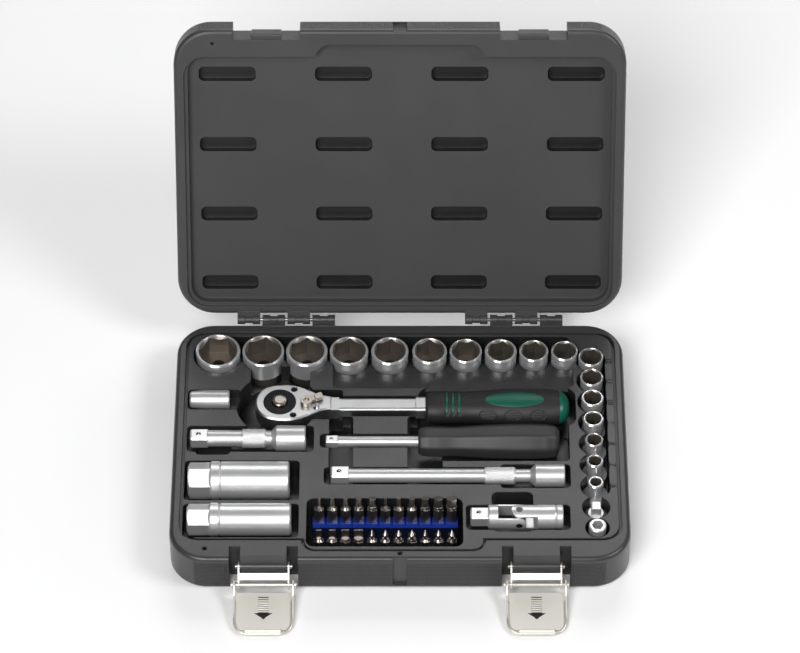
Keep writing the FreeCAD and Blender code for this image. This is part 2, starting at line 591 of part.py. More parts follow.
def ratchet_lever():
    x, y = LEVER_AT.x, LEVER_AT.y
    boss = rod_z(3.8, HEAD_TOP + 0.2, HEAD_TOP + 3.6, x, y)
    arm = box(x, x + 9.6, y - 1.6, y + 1.6, HEAD_TOP + 1.0, HEAD_TOP + 3.0)
    thumb = box(x + 6.2, x + 11.6, y - 2.2, y + 2.2, HEAD_TOP + 0.8, HEAD_TOP + 3.8)
    thumb = thumb.makeFillet(1.0, [e for e in thumb.Edges if e.BoundBox.ZLength > 1])
    spindle = rod_z(2.0, HEAD_TOP - 6.0, HEAD_TOP + 1, x, y)
    body = fuse([boss, arm, thumb, spindle])
    body = body.cut(rod_z(1.9, HEAD_TOP + 2.2, HEAD_TOP + 4, x, y))
    body.rotate(V(x, y, 0), V(0, 0, 1), 24)
    return body


def ratchet_pawl():
    x, y = LEVER_AT.x, LEVER_AT.y
    block = rod_z(5.6, HEAD_LOW + 2.8, HEAD_TOP - 3.2, x, y)
    block = block.cut(rod_z(GEAR_R + 0.6, HEAD_LOW, HEAD_TOP, RATCHET.x, RATCHET.y))
    block = block.cut(box(x + 1.5, x + 7, y - 7, y + 7, HEAD_LOW, HEAD_TOP))
    return block.cut(rod_z(2.0, HEAD_LOW, HEAD_TOP, x, y))


def ratchet_handle():
    x, y = RATCHET.x, RATCHET.y
    z = RATCHET.z
    sections = [(97.1, 19.0, 15.0), (99.5, 21.5, 17.0), (112.0, 22.5, 18.0), (124.0, 22.0, 17.6), (142.0, 25.6, 20.2),
                (160.0, 27.0, 21.0), (176.0, 26.4, 20.6), (186.0, 24.4, 19.2)]
    grip = loft_x([(x + a, w, t) for a, w, t in sections], y, z)
    cap = loft_x([(x + 186.0, 24.4, 19.2), (x + 188.4, 22.4, 17.8), (x + 190.8, 17.6, 14.2), (x + 192.4, 10.0, 8.6),
                  (x + 192.8, 4.0, 3.4)], y, z)
    tang = box(x + 97.0, x + 170.0, y - 4.5, y + 4.5, z - 3.0, z + 3.0)
    oval = Part.Face(Part.Wire([Part.Ellipse(V(x + 156.0, y, z + 6.0), 21.6, 6.2).toShape()])).extrude(V(0, 0, 12))
    bands = [box(x + a - 0.9, x + a + 0.9, y - 9.0, y + 9.0, z + 5.0, z + 12.0) for a in (111.2, 115.3, 119.4)]
    inlay = grip.common(fuse([oval])).fuse([grip.common(b) for b in bands])
    rubber = grip.cut(fuse([tang])).cut(oval)
    rubber = rubber.cut(fuse(bands))
    return rubber, cap, inlay


def spinner():
    x, y, z = SPINNER.x, SPINNER.y, SPINNER.z
    tip = square_x(DRIVE_14, x, x + 8.0, y, z)
    tip = tip.makeChamfer(0.7, [e for e in tip.Edges if e.BoundBox.XLength > 1.0 or e.BoundBox.XMax < x + 0.1])
    ball = drive_ball(1.5, 1.0, x + 3.8, y, z + DRIVE_14 / 2)
    shaft = turned([(7.4, 2.6), (8.2, 3.65), (120.0, 3.65)], V(x, y, z), V(1, 0, 0))
    sections = [(61.2, 8.8), (63.0, 9.8), (72.0, 10.4), (84.0, 10.0), (102.0, 11.6), (120.0, 12.4), (142.0, 12.4),
                (151.0, 11.4), (154.5, 9.6)]
    grip = facets_x([(x + a, r) for a, r in sections], y, z, 8, 1.0)
    grip = grip.cut(rod_x(3.65, x + 60.0, x + 120.0, y, z))
    return tip.fuse(shaft).cut(ball), ball, grip


def bit_coupler():
    x, y, z = COUPLER.x, COUPLER.y, COUPLER.z
    profile = [(0, 4.8), (1.0, 5.6), (9.0, 6.4), (26.3 - 0.6, 6.4), (26.3, 5.8)]
    body = turned(profile, V(x, y, z), V(1, 0, 0))
    body = body.cut(polygon(6, BIT_AF + 0.15, V(x - 1, y, z), V(1, 0, 0), 13.0))
    female = square_x(DRIVE_38 + FEMALE_PLAY - 1.2, x + 15.5, x + 28, y, z)
    return body.cut(female)


def step_adapter():
    """3/8 inch female to 1/4 inch male, standing with the male square up."""
    x, y, z = STEP_ADAPTER.x, STEP_ADAPTER.y, STEP_ADAPTER.z
    profile = [(0, 7.4), (0.6, 8.0), (13.5, 8.0), (16.0, 5.0), (17.6, 5.0)]
    body = turned(profile, V(x, y, z), V(0, 0, 1))
    half = DRIVE_14 / 2
    tip = box(x - half, x + half, y - half, y + half, z + 17.0, z + 25.6)
    tip = tip.makeChamfer(0.6, flat_edges(tip, z + 25.6))
    body = body.fuse(tip)
    return body.cut(box(x - 4.85, x + 4.85, y - 4.85, y + 4.85, z - 1, z + 11))


def bit_adapter():
    """Female square below and a hexagon bit mouth above."""
    x, y, z = BIT_ADAPTER.x, BIT_ADAPTER.y, BIT_ADAPTER.z
    profile = [(0, 6.4), (0.6, 7.0), (9.0, 7.0), (11.0, 5.7), (25.4, 5.7), (26.0, 5.1)]
    body = turned(profile, V(x, y, z), V(0, 0, 1))
    body = body.cut(box(x - 4.1, x + 4.1, y - 4.1, y + 4.1, z - 1, z + 9))
    return body.cut(polygon(6, BIT_AF + 0.15, V(x, y, z + 12.0), V(0, 0, 1), 15.0))


def lean(shape):
    """Tilt a shape made upright at the origin and set it down at the rail."""
    shape.rotate(V(0, 0, 0), V(1, 0, 0), -BIT_LEAN)
    shape.translate(BIT_RAIL)
    return shape


def bit_at(column, back):
    """Foot of one bit, before the rail is tilted."""
    x = 4.2 + BIT_PITCH * column
    return V(x, 0, 0) if back else V(x, -BIT_ROWS, -BIT_STEP)


def bit(column, back, kind, size):
    start = bit_at(column, back)
    way = V(0, 0, 1)
    shank = polygon(6, BIT_AF, start, way, BIT_LEN - 8.0, 30)
    neck = turned([(BIT_LEN - 8.0, 3.1), (BIT_LEN - 6.6, size / 2 + 0.2), (BIT_LEN - 6.0, size / 2)], start, way)
    tip_at = start + way * (BIT_LEN - 6.2)
    if kind == "hex":
        tip = polygon(6, size * 0.9, tip_at, way, 6.2, 30)
    elif kind == "torx":
        tip = polygon(6, size * 0.78, tip_at, way, 6.2, 0).fuse(polygon(6, size * 0.78, tip_at, way, 6.2, 30))
    elif kind == "slot":
        blade = turned([(0, size / 2), (6.2, size / 2)], tip_at, way)
        tip = blade.common(box(tip_at.x - 6, tip_at.x + 6, tip_at.y - 0.55, tip_at.y + 0.55, tip_at.z, tip_at.z + 7))
    else:
        point = turned([(0, size / 2), (2.6, size / 2), (5.2, 0.7), (6.0, 0.3)], tip_at, way)
        gaps = []
        for sx in (-1, 1):
            for sy in (-1, 1):
                x0 = tip_at.x + sx * (1.4 + size * 0.14)
                y0 = tip_at.y + sy * (1.4 + size * 0.14)
                gaps.append(box(x0 - 1.05, x0 + 1.05, y0 - 1.05, y0 + 1.05, tip_at.z + 0.4, tip_at.z + 7))
        tip = point.cut(fuse(gaps))
    return lean(fuse([shank, neck, tip]))


BIT_SETS = {
    "bits_torx": [(i, True, "torx", 2.6 + 0.7 * i) for i in range(5)],
    "bits_hex": [(i + 5, True, "hex", s) for i, s in enumerate((2.4, 3.0, 4.0, 5.0, 6.0, 7.0))],
    "bits_driver": [(i, False, "slot", 3.6 + 0.8 * i) for i in range(4)]
    + [(i + 4, False, "cross", 3.8 + 0.5 * (i % 4)) for i in range(7)]}


def bit_rail():
    """Leaning holder in two steps, a row of hexagon holes in each, with a slit between neighbours."""
    length = 2 * 4.2 + BIT_PITCH * (BIT_COUNT - 1)
    high = box(0, length, -RAIL_HALF, RAIL_HALF, -8.0, 8.0)
    low = box(0, length, -BIT_ROWS - RAIL_HALF, -BIT_ROWS + RAIL_HALF, -BIT_STEP - 0.8, -BIT_STEP + 8.0)
    web = box(0, length, -BIT_ROWS + RAIL_HALF - 1, -RAIL_HALF + 1, -8.0, -5.5)
    rail = fuse([high, low, web])
    holes = []
    for column in range(BIT_COUNT):
        for back in (True, False):
            holes.append(polygon(6, BIT_AF + 0.1, bit_at(column, back), V(0, 0, 1), 9.0, 30))
    for column in range(BIT_COUNT - 1):
        x = 4.2 + BIT_PITCH * (column + 0.5)
        for y, z in ((0, 0), (-BIT_ROWS, -BIT_STEP)):
            holes.append(box(x - 0.3, x + 0.3, y - RAIL_HALF - 1, y + RAIL_HALF + 1, z + 6.0, z + 9.0))
    return lean(rail.cut(holes))


U_PIVOT = V(U_JOINT.x + 31.8, U_JOINT.y, U_JOINT.z)


def u_male():
    x, y, z = U_JOINT.x, U_JOINT.y, U_JOINT.z
    tip = square_x(DRIVE_38, x, x + 12.0, y, z)
    tip = tip.makeChamfer(1.0, [e for e in tip.Edges if e.BoundBox.XLength > 1.0 or e.BoundBox.XMax < x + 0.1])
    drum = turned([(11.6, 7.2), (12.4, 8.0), (36.4, 8.0)], U_JOINT, V(1, 0, 0))
    keep = box(x + 11, x + 18, y - 9, y + 9, z - 9, z + 9)
    ears = rod_y(5.0, y - 9, y + 9, U_PIVOT.x, z).fuse(box(x + 17, U_PIVOT.x, y - 9, y + 9, z - 5.0, z + 5.0))
    drum = drum.common(keep.fuse(ears))
    drum = drum.cut(box(x + 18, x + 40, y - 5.2, y + 5.2, z - 9, z + 9))
    body = tip.fuse(drum)
    ball = drive_ball(2.2, 1.5, x + 5.5, y, z + DRIVE_38 / 2)
    return body.cut(fuse([rod_y(2.2 + RUN, y - 10, y + 10, U_PIVOT.x, z), ball])), ball


def rod_y(r, y0, y1, x, z):
    return Part.makeCylinder(r, y1 - y0, V(x, y0, z), V(0, 1, 0))


def u_cross():
    x, y, z = U_PIVOT.x, U_PIVOT.y, U_PIVOT.z
    block = box(x - 4.2, x + 4.2, y - 4.9, y + 4.9, z - 4.9, z + 4.9)
    return fuse([block, rod_y(2.2, y - 7.6, y + 7.6, x, z), rod_z(2.2, z - 7.6, z + 7.6, x, y)])


def u_female():
    x, y, z = U_PIVOT.x, U_PIVOT.y, U_PIVOT.z
    end = U_JOINT.x + 60.5
    span = end - x
    drum = turned([(-6, 8.0), (span - 5.4, 8.0), (span - 4.6, 7.6), (span - 3.8, 8.0), (span - 0.6, 8.0),
                   (span, 7.4)], U_PIVOT, V(1, 0, 0))
    solid = box(x + 12.0, end + 1, y - 9, y + 9, z - 9, z + 9)
    ears = rod_z(5.0, z - 9, z + 9, x, y).fuse(box(x, x + 13, y - 5.0, y + 5.0, z - 9, z + 9))
    drum = drum.common(solid.fuse(ears))
    drum = drum.cut(box(x - 7, x + 9.5, y - 9, y + 9, z - 5.2, z + 5.2))
    female = square_x(DRIVE_38 + FEMALE_PLAY, end - 12.0, end + 1, y, z)
    return drum.cut(fuse([rod_z(2.2 + RUN, z - 10, z + 10, x, y), female]))


def build():
    nodes = {"base_shell": base_shell(), "lid_shell": lid_shell()}
    nodes["hinge_pins"] = Part.makeCompound(hinge_pins())
    nodes["latch_pins"] = Part.makeCompound(latch_pins())
    for name, side in (("left", -1), ("right", 1)):
        nodes["latch_link_" + name] = latch_link(side)
        nodes["latch_rod_" + name] = latch_rod(side)
        nodes["latch_lever_" + name] = latch_lever(side)
    for hexagon, d, x, turn in BACK_ROW:
        drive = min(d, max(COL_DRIVE_D, d - 4.5))
        nodes["socket_%02d" % hexagon] = socket(hexagon, d, x, ROW_Y, turn, drive, 15.0)
    for hexagon, d, y, turn in COLUMN:
        nodes["socket_%02d" % hexagon] = socket(hexagon, d, COL_X, y, turn, COL_DRIVE_D, 12.5)
    nodes["step_adapter"] = step_adapter()
    nodes["bit_adapter"] = bit_adapter()
    nodes["bit_coupler"] = bit_coupler()
    nodes["extension_75"], nodes["extension_75_ball"] = extension(EXT_75, 11.0, 12.2, 17.2, 76.4, 34.2, 16.0)
    nodes["extension_150"], nodes["extension_150_ball"] = extension(EXT_150, 9.3, 11.0, 15.5, 153.7, 100.7, 20.7)
    nodes["spark_socket_21"], nodes["spark_insert_21"] = spark_socket(SPARK_21, 21.0, 25.4, 66.6, 25.8, 21.4)
    nodes["spark_socket_16"], nodes["spark_insert_16"] = spark_socket(SPARK_16, 18.0, 21.5, 67.9, 22.0, 17.0)
    nodes["ratchet_body"] = ratchet_body()
    nodes["ratchet_screws"] = Part.makeCompound([ratchet_screw(dx, dy) for dx, dy in SCREWS])
    nodes["ratchet_gear"], nodes["ratchet_ball"] = ratchet_gear()
    nodes["ratchet_ring"] = ratchet_ring()
    nodes["ratchet_button"] = ratchet_button()
    nodes["ratchet_lever"] = ratchet_lever()
    nodes["ratchet_pawl"] = ratchet_pawl()
    nodes["ratchet_grip"], nodes["ratchet_cap"], nodes["ratchet_inlay"] = ratchet_handle()
    nodes["spinner_shaft"], nodes["spinner_ball"], nodes["spinner_grip"] = spinner()
    nodes["bit_rail"] = bit_rail()
    for name, bits in BIT_SETS.items():
        nodes[name] = Part.makeCompound([bit(*b) for b in bits])
    nodes["u_male"], nodes["u_ball"] = u_male()
    nodes["u_cross"] = u_cross()
    nodes["u_female"] = u_female()
    return nodes


os.makedirs("parts", exist_ok=True)
for node, shape in build().items():
    shape.exportStep("parts/" + node + ".step")
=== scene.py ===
import json
import math

import bpy
import numpy as np
from bpy.props import FloatProperty, FloatVectorProperty, IntProperty, PointerProperty
from mathutils import Matrix, Vector


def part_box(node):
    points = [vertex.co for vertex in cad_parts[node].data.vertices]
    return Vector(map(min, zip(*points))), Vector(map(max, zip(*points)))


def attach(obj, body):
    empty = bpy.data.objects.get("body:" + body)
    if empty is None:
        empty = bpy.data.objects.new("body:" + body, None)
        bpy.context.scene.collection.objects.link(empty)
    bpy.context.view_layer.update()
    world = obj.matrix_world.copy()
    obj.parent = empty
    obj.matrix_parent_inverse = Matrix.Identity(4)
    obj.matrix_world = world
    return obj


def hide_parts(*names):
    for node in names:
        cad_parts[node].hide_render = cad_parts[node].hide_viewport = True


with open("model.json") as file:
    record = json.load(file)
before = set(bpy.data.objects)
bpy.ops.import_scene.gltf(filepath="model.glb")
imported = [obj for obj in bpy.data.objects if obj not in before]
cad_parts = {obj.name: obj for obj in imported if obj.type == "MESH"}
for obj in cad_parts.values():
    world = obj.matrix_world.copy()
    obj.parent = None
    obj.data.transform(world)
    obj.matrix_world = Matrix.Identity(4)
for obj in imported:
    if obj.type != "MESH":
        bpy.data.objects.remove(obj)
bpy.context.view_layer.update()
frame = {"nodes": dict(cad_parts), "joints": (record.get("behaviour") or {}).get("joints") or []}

bl_info = {
    "name": "Socket set in case",
    "version": (1, 0, 0),
    "blender": (4, 5, 0),
    "location": "3D View > Sidebar > Socket set",
    "description": "Finishes the carry case, sockets, ratchet, handles, bars and bits of a socket set",
    "category": "Object",
}

NODES = frame["nodes"]
SOCKETS = sorted(n for n in NODES if n.startswith("socket_"))

# Metallic values under 1.0 leave a share of plain diffuse colour in the plating.
PLATED = 0.7
LEVER_PLATED = 0.45

# Sockets of the Mix node when it mixes colours.
MIX_A, MIX_B, MIX_OUT = 6, 7, 2

# Places on the case, in metres with the lid shut: (low, high) along one axis.
LID_OPEN = math.radians(117.0)
FRONT_WALL = (-0.2, -0.0995)
LID_BAND = (0.0335, 0.0475)
BASE_BAND = (0.003, 0.0262)
# Boxes of the lid's slots and the base's wells, which get painted shade.
LID_SLOTS_SHADED = ((-0.138, 0.138), (-0.075, 0.088), (0.0397, 0.0472))
BASE_WELLS_SHADED = ((-0.1432, 0.1440), (-0.0905, 0.0935), (0.003, 0.0287))

# Size numbers: place along x, and how far the rim lies below the sockets' tops.
NUMBER_X = 0.1401
NUMBER_DROP = 0.0047

# Stamped arrow on a lever, as distances from its upper edge.
ARROW_START, ARROW_NECK, ARROW_TIP = 0.0108, 0.0222, 0.0262
ARROW_HALF = 0.0034
BAR_PITCH, BAR_SHARE = 0.00155, 0.34

# Lever rim: half width, corner radius, and where it starts and ends along the lever.
RIM_HALF, RIM_CORNER, RIM_START, RIM_END = 0.0186, 0.0085, 0.0085, 0.0345
RIM_RADIUS, RIM_SINK = 0.0011, 0.0013
LEVER_SLOPE = math.radians(12.0)

# Knurled bands: node, start along it, length, radius, body.
KNURLED = (("extension_75", 0.0342, 0.016, 0.00610, "extension_75_tool"),
           ("extension_150", 0.1007, 0.0207, 0.00550, "extension_150_tool"))
KNURL_DEPTH, KNURL_SINK = 0.00016, 0.0003

# Ratchet grip: sizes at stations along it, and its bands, at an angle about it.
GRIP_STATIONS = np.array([97.1, 98.2, 100.5, 112.0, 124.0, 142.0, 160.0, 176.0, 184.0, 186.0]) / 1000
GRIP_WIDTHS = np.array([18.4, 20.6, 22.0, 22.6, 22.2, 25.4, 27.0, 26.6, 25.0, 24.2]) / 1000
GRIP_THICKS = np.array([14.4, 16.4, 17.6, 18.1, 17.8, 20.2, 21.2, 20.8, 19.6, 19.2]) / 1000
GRIP_SQUARE = 0.92
GRIP_START, GRIP_AXIS_Z = 0.0164, 0.007
BANDS = (111.2, 115.3, 119.4)
BAND_ANGLE = 1.75
PAD_START, PAD_PITCH = 0.1384, 0.0168

# Spinner grip: radii at stations along it, number of flats, and how sharp the edges between them are.
SPINNER_STATIONS = np.array([0.0, 1.0, 3.0, 11.0, 23.0, 41.0, 59.0, 80.0, 88.0, 91.6, 93.3]) / 1000
SPINNER_RADII = np.array([7.3, 8.5, 9.2, 9.8, 9.5, 10.7, 11.4, 11.4, 10.7, 9.5, 7.3]) / 1000
FLATS, SHARPNESS = 8, 26

# Lights: name, place, size, power.
LIGHTS = (("key", (-0.6, -1.5, 1.7), 1.2, 42.0),
          ("fill", (1.3, -0.4, 1.5), 0.7, 14.0),
          ("back", (0.1, 1.7, 1.3), 1.3, 20.0))
AIM = Vector((0.0, 0.1248, 0.0))


# ---------------------------------------------------------------- settings

class CaseSettings(bpy.types.PropertyGroup):
    """Moulded case halves and the numbers along the right edge."""
    colour: FloatVectorProperty(name="Plastic colour", description="Base colour of the case plastic",
                                default=(0.050, 0.050, 0.052), subtype="COLOR", size=3)
    roughness: FloatProperty(name="Plastic roughness", description="Sheen of the case plastic",
                             default=0.40, min=0.05, max=1.0)
    grid_pitch: FloatProperty(name="Grip grid pitch", default=0.0014, unit="LENGTH",
                              description="Spacing of the moulded grid on the front wall")
    number_size: FloatProperty(name="Number height", default=0.0052, unit="LENGTH",
                               description="Height of the size numbers beside the sockets")


class MetalSettings(bpy.types.PropertyGroup):
    """Plated and bare metal finishes."""
    chrome: FloatVectorProperty(name="Bright chrome", description="Colour of the polished socket plating",
                                default=(0.80, 0.80, 0.81), subtype="COLOR", size=3)
    # Painted shade: darker, browner colour that stands for the shade inside the sockets.
    bore: FloatVectorProperty(name="Socket bore", description="Colour inside the sockets",
                              default=(0.20, 0.175, 0.15), subtype="COLOR", size=3)
    satin: FloatVectorProperty(name="Satin chrome", description="Colour of the satin tool plating",
                               default=(0.82, 0.82, 0.825), subtype="COLOR", size=3)
    nickel: FloatVectorProperty(name="Nickel", description="Colour of the latch plating",
                                default=(0.80, 0.77, 0.71), subtype="COLOR", size=3)
    knurl_pitch: FloatProperty(name="Knurl pitch", description="Spacing of the diamond knurl on the bars",
                               default=0.0011, unit="LENGTH")


class HandleSettings(bpy.types.PropertyGroup):
    """Rubber grips and their coloured inlays."""
    rubber: FloatVectorProperty(name="Rubber", description="Colour of both grips",
                                default=(0.017, 0.017, 0.018), subtype="COLOR", size=3)
    green: FloatVectorProperty(name="Inlay green", description="Colour of the end cap, oval and bands",
                               default=(0.003, 0.095, 0.06), subtype="COLOR", size=3)
    pads: IntProperty(name="Finger pads", description="Number of ribbed ovals along the ratchet grip",
                      default=3, min=0, max=5)


class StageSettings(bpy.types.PropertyGroup):
    """Camera, floor and lights."""
    elevation: FloatProperty(name="Camera elevation", description="Height angle of the camera",
                             default=math.radians(49.0), subtype="ANGLE")
    distance: FloatProperty(name="Camera distance", description="Distance from the camera to its aim",
                            default=2.886, unit="LENGTH")
    lens: FloatProperty(name="Focal length", description="Focal length on a 36 mm sensor, in millimetres",
                        default=189.3)
    light: FloatProperty(name="Light", description="Brightness of the soft boxes", default=1.0, min=0.0)


GROUPS = {"socket_case": CaseSettings, "socket_metal": MetalSettings, "socket_handle": HandleSettings,
          "socket_stage": StageSettings}


# ---------------------------------------------------------------- mesh and material helpers

def surface(name, points, around=False, cap=False, smooth=True):
    """Mesh from a grid of points [along, around]. around joins the last column to the first, and cap closes
    both ends with a fan about the mean of the end row."""
    points = np.asarray(points, float)
    n, m = points.shape[:2]
    rows = np.arange(n - 1)
    cols = np.arange(m if around else m - 1)
    a, b = np.meshgrid(rows, cols, indexing="ij")
    a2, b2 = a + 1, (b + 1) % m
    quads = np.stack([a * m + b, a * m + b2, a2 * m + b2, a2 * m + b], -1).reshape(-1, 4)
    verts = points.reshape(-1, 3)
    faces = quads.tolist()
    if cap:
        verts = np.vstack([verts, points[0].mean(0), points[-1].mean(0)])
        b = np.arange(m)
        b2 = (b + 1) % m
        low = np.stack([np.full(m, n * m), b2, b], -1)
        high = np.stack([np.full(m, n * m + 1), (n - 1) * m + b, (n - 1) * m + b2], -1)
        faces += low.tolist() + high.tolist()
    mesh = bpy.data.meshes.new(name)
    mesh.from_pydata(verts.tolist(), [], faces)
    mesh.polygons.foreach_set("use_smooth", np.full(len(mesh.polygons), smooth))
    mesh.update()
    piece = bpy.data.objects.new(name, mesh)
    bpy.context.scene.collection.objects.link(piece)
    return piece


def finish_piece(piece, body, material, slot, *replaced):
    """Gives a new piece its material and body, and hides the nodes that it stands for. slot is not used."""
    piece.data.materials.append(material)
    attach(piece, body)
    if replaced:
        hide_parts(*replaced)
    return piece


def joint_place(name):
    """Where a joint of the frame stands."""
    return next(j for j in frame["joints"] if j["name"] == name)["pos_m"]


class Maker:
    """Small builder for one procedural material around a Principled shader."""

    def __init__(self, name, colour, metallic, roughness):
        self.material = bpy.data.materials.get(name) or bpy.data.materials.new(name)
        self.material.use_nodes = True
        self.tree = self.material.node_tree
        self.tree.nodes.clear()
        self.out = self.tree.nodes.new("ShaderNodeOutputMaterial")
        self.shader = self.tree.nodes.new("ShaderNodeBsdfPrincipled")
        self.tree.links.new(self.shader.outputs[0], self.out.inputs[0])
        self.shader.inputs["Base Color"].default_value = (*colour, 1.0)
        self.shader.inputs["Metallic"].default_value = metallic
        self.shader.inputs["Roughness"].default_value = roughness
        self.material.diffuse_color = (*colour, 1.0)
        self.where = self.tree.nodes.new("ShaderNodeTexCoord").outputs["Object"]

    def node(self, kind, **values):
        made = self.tree.nodes.new("ShaderNode" + kind)
        for key, value in values.items():
            if key in made.inputs:
                made.inputs[key].default_value = value
            else:
                setattr(made, key, value)
        return made

    def link(self, source, target):
        self.tree.links.new(source, target)

    def maths(self, operation, first, second=None, third=None):
        made = self.node("Math", operation=operation)
        for socket, value in zip(made.inputs, (first, second, third)):
            if value is None:
                continue
            if isinstance(value, (int, float)):
                socket.default_value = value
            else:
                self.link(value, socket)
        return made.outputs[0]

    def mapped(self, scale=(1.0, 1.0, 1.0), rotation=(0.0, 0.0, 0.0), location=(0.0, 0.0, 0.0)):
        made = self.node("Mapping")
        made.inputs["Scale"].default_value = scale
        made.inputs["Rotation"].default_value = rotation
        made.inputs["Location"].default_value = location
        self.link(self.where, made.inputs["Vector"])
        return made.outputs[0]

    def place(self, axis, where=None):
        """The place along one axis."""
        split = self.node("SeparateXYZ")
        self.link(where or self.where, split.inputs[0])
        return split.outputs[axis]

    def noise(self, scale, detail=3.0, where=None):
        made = self.node("TexNoise", Scale=scale, Detail=detail)
        self.link(where or self.where, made.inputs["Vector"])
        return made.outputs["Fac"]

    def ramp(self, source, low, high, start=0.0, end=1.0):
        """A value spread from low to high while the source goes from start to end."""
        made = self.node("MapRange", clamp=True)
        for key, value in (("From Min", start), ("From Max", end), ("To Min", low), ("To Max", high)):
            made.inputs[key].default_value = value
        self.link(source, made.inputs["Value"])
        return made.outputs[0]

    def tint(self, source, dark, light):
        """Base colour that runs from dark to light with a 0 to 1 source."""
        made = self.node("Mix", data_type="RGBA")
        made.inputs[MIX_A].default_value = (*dark, 1.0)
        made.inputs[MIX_B].default_value = (*light, 1.0)
        self.link(source, made.inputs[0])
        self.link(made.outputs[MIX_OUT], self.shader.inputs["Base Color"])

    def rough(self, source, low, high):
        self.link(self.ramp(source, low, high), self.shader.inputs["Roughness"])

    def bump(self, height, distance, strength=1.0, edge=0.0):
        """Bump from a height, on a normal that is softened over sharp edges when edge is over zero."""
        made = self.node("Bump", Strength=strength, Distance=distance)
        self.link(height, made.inputs["Height"])
        if edge > 0:
            self.link(self.node("Bevel", samples=4, Radius=edge).outputs[0], made.inputs["Normal"])
        self.link(made.outputs[0], self.shader.inputs["Normal"])

    def bands(self, axis, pitch, where=None):
        """0 to 1 ridge profile repeated along one axis: the absolute sine of the place along it."""
        turns = self.maths("MULTIPLY", self.place(axis, where), math.pi / pitch)
        return self.maths("ABSOLUTE", self.maths("SINE", turns))

    def inside(self, axis, low, high, where=None):
        """1 where the place along an axis lies between two limits, else 0."""
        spot = self.place(axis, where)
        above = self.maths("GREATER_THAN", spot, low)
        below = self.maths("LESS_THAN", spot, high)
        return self.maths("MULTIPLY", above, below)

    def inside_box(self, limits, where=None):
        """1 where the place lies between the limits of all three axes, else 0."""
        x, y, z = (self.inside(axis, *pair, where) for axis, pair in enumerate(limits))
        return self.maths("MULTIPLY", self.maths("MULTIPLY", x, y), z)


def dress(names, material):
    """Puts one material on the named CAD nodes."""
    for name in names:
        mesh = NODES[name].data
        mesh.materials.clear()
        mesh.materials.append(material)


def case_material(name, settings, turned):
    """Satin moulded plastic with fine grain and a moulded grid on the front band, which is darkened too.
    Painted shade darkens the slots in the lid and the wells in the base. turned puts the lid's coordinates
    back to where they are with the case shut."""
    colour = Vector(settings.colour) * (1.0 if turned else 0.86)
    make = Maker(name, colour, 0.0, settings.roughness)
    make.shader.inputs["Specular IOR Level"].default_value = 0.5
    where = make.where
    if turned:
        _, y, z = joint_place("lid_hinge")
        back = Matrix.Rotation(LID_OPEN, 3, "X") @ Vector((0, -y, -z))
        where = make.mapped(rotation=(LID_OPEN, 0, 0), location=(0, back.y + y, back.z + z))
    cloud = make.noise(9.0, 4.0, where)
    grain = make.noise(1700.0, 2.0, where)
    make.tint(cloud, tuple(colour * 0.82), tuple(colour * 1.22))
    plain = make.shader.inputs["Base Color"].links[0].from_socket
    polish = settings.roughness - (0.0 if turned else 0.1)
    make.rough(make.noise(40.0, 3.0, where), polish - 0.06, polish + 0.08)
    front = make.inside(1, *FRONT_WALL, where)
    edge = make.inside(2, *(LID_BAND if turned else BASE_BAND), where)
    band = make.maths("MULTIPLY", front, edge)
    upright = make.bands(0, settings.grid_pitch, where)
    level = make.bands(2, settings.grid_pitch, where)
    grid = make.maths("MULTIPLY", make.maths("MINIMUM", upright, level), band)
    # Painted shade: the slots in the lid (1.6 times as strong) and the wells in the base are darkened towards
    # 0.45 of the colour, and the gridded front band is darkened with them.
    hollow_shade = make.inside_box(LID_SLOTS_SHADED if turned else BASE_WELLS_SHADED, where)
    if turned:
        hollow_shade = make.maths("MULTIPLY", hollow_shade, 1.6)
    darker_band_and_hollow_shade = make.node("Mix", data_type="RGBA", clamp_factor=False)
    darker_band_and_hollow_shade.inputs[MIX_B].default_value = (*(colour * 0.45), 1.0)
    make.link(make.maths("ADD", band, hollow_shade), darker_band_and_hollow_shade.inputs[0])
    make.link(plain, darker_band_and_hollow_shade.inputs[MIX_A])
    make.link(darker_band_and_hollow_shade.outputs[MIX_OUT], make.shader.inputs["Base Color"])
    make.bump(make.maths("MULTIPLY_ADD", grid, 6.0, grain), 0.00006, 1.0, 0.0006)
    return make.material


def metal_material(name, colour, roughness, spread=0.05, streak=(1.0, 1.0, 1.0), edge=0.00025, metallic=1.0):
    """Plated or bare metal: cloudy roughness, faint fine lines and softened edges."""
    make = Maker(name, colour, metallic, roughness)
    cloud = make.noise(60.0, 4.0)
    make.rough(cloud, max(0.03, roughness - spread), roughness + spread)
    make.tint(make.noise(25.0, 3.0), tuple(Vector(colour) * 0.86), colour)
    fine = make.noise(900.0, 2.0, make.mapped(scale=streak))
    make.bump(fine, 0.00001, 0.6, edge)
    return make.material


def socket_material(node, chrome, bore):
    """Bright plating outside, and a rougher finish with a darker, browner colour painted as shade wherever
    the distance from the socket's axis is under the corner radius of its hexagon."""
    low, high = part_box(node)
    make = Maker("chrome_" + node, chrome, PLATED, 0.1)
    corner = int(node[-2:]) / 1000 / math.sqrt(3) + 0.0001
    dx = make.maths("SUBTRACT", make.place(0), (low.x + high.x) / 2)
    dy = make.maths("SUBTRACT", make.place(1), (low.y + high.y) / 2)
    squares = make.maths("ADD", make.maths("MULTIPLY", dx, dx), make.maths("MULTIPLY", dy, dy))
    far = make.maths("SQRT", squares)
    # Painted shade inside the hexagon, chrome outside it.
    outer = make.ramp(far, 0.0, 1.0, corner, corner + 0.00025)
    make.tint(outer, bore, chrome)
    make.link(make.ramp(outer, 0.36, 0.16), make.shader.inputs["Roughness"])
    make.bump(make.noise(900.0, 2.0), 0.00001, 0.5, 0.0003)
    return make.material


